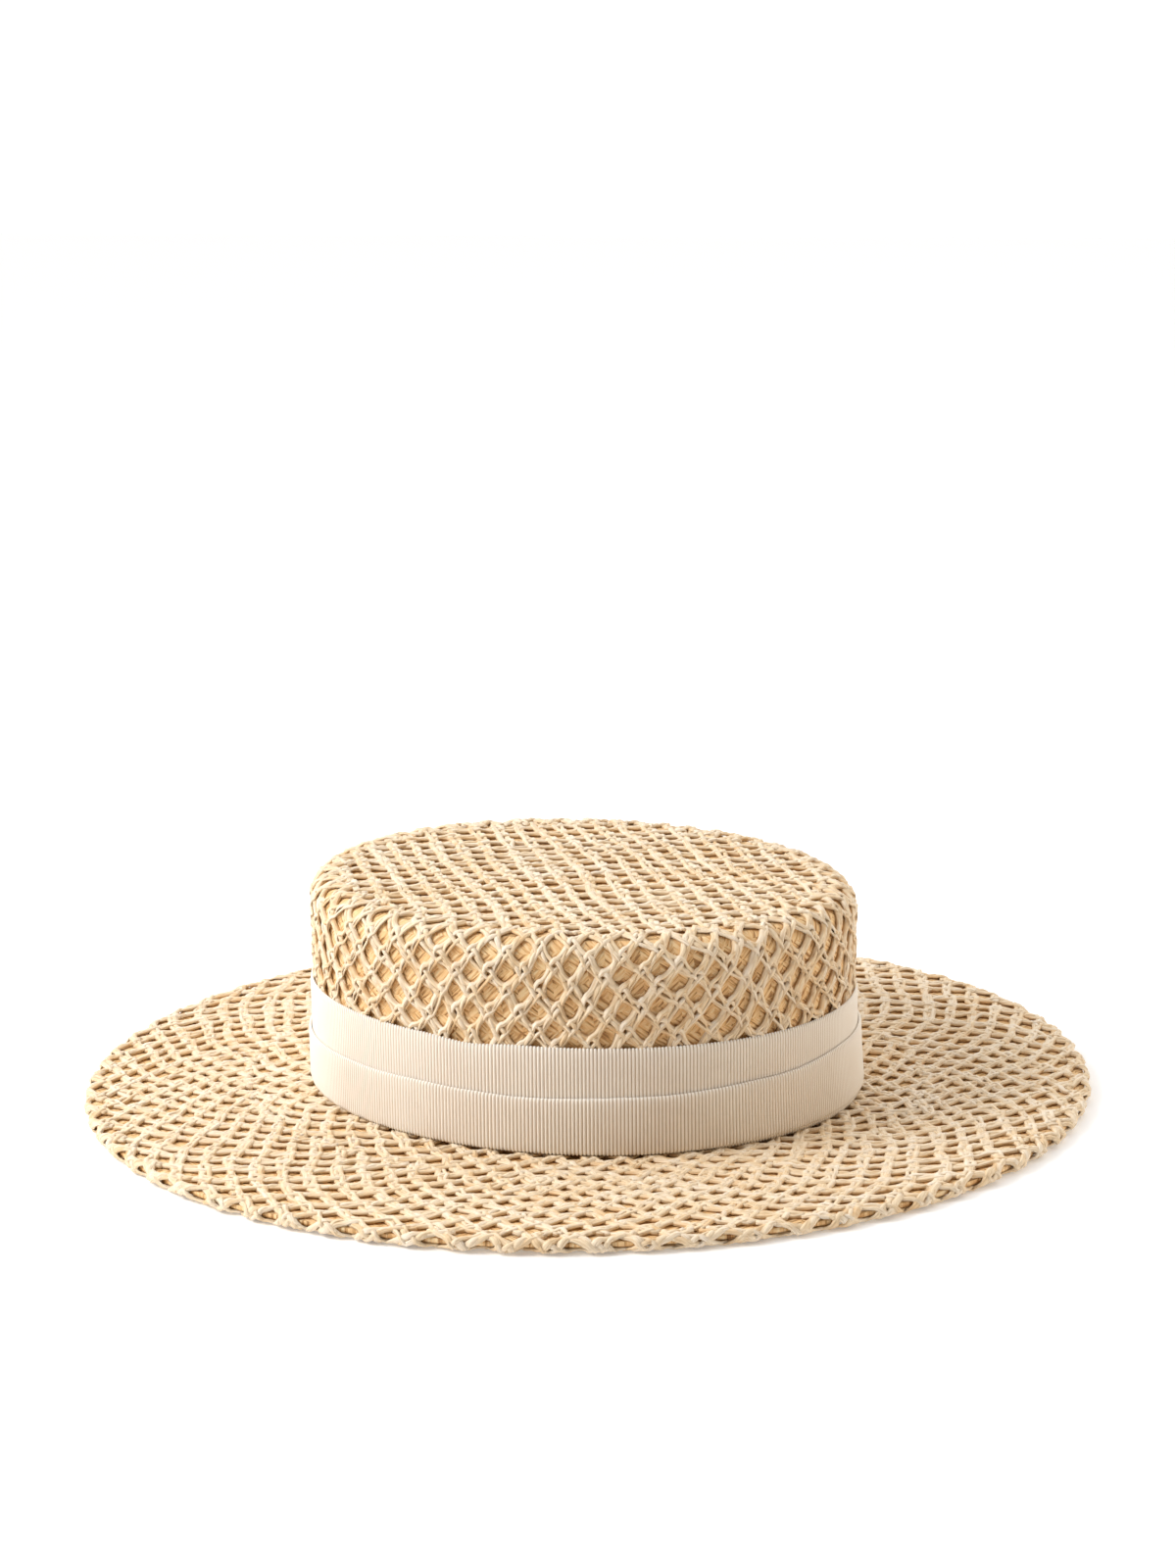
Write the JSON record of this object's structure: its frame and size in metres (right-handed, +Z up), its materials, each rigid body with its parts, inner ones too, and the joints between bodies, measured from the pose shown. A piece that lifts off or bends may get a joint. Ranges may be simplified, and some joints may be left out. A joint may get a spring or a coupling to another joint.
{
  "type": "straw boater hat",
  "caption": "Flat-topped straw hat: openwork net over a close-woven body, a wide stiff oval brim, and a ribbed ribbon wound twice round the crown.",
  "frame": {"origin": "middle of the brim's outline, on the surface that the hat lies on", "axes": "+Z up through the crown, X along the long axis of the head oval, -Y towards the side that the picture shows"},
  "size_m": [0.3844, 0.3486, 0.0871],
  "materials": {
    "tan_straw": "close-woven fine straw, matt, with fine diagonal strands",
    "pale_net": "openwork net of split pale straw, slightly glossy strands",
    "ribbon": "ribbed grosgrain with small picots along its edges"
  },
  "bodies": {
    "root": {"crown_base": "tan_straw", "brim_base": "tan_straw", "crown_net": "pale_net", "brim_net": "pale_net", "brim_edge": "pale_net", "ribbon_first_turn": "ribbon", "ribbon_second_turn": "ribbon"}
  },
  "joints": []
}
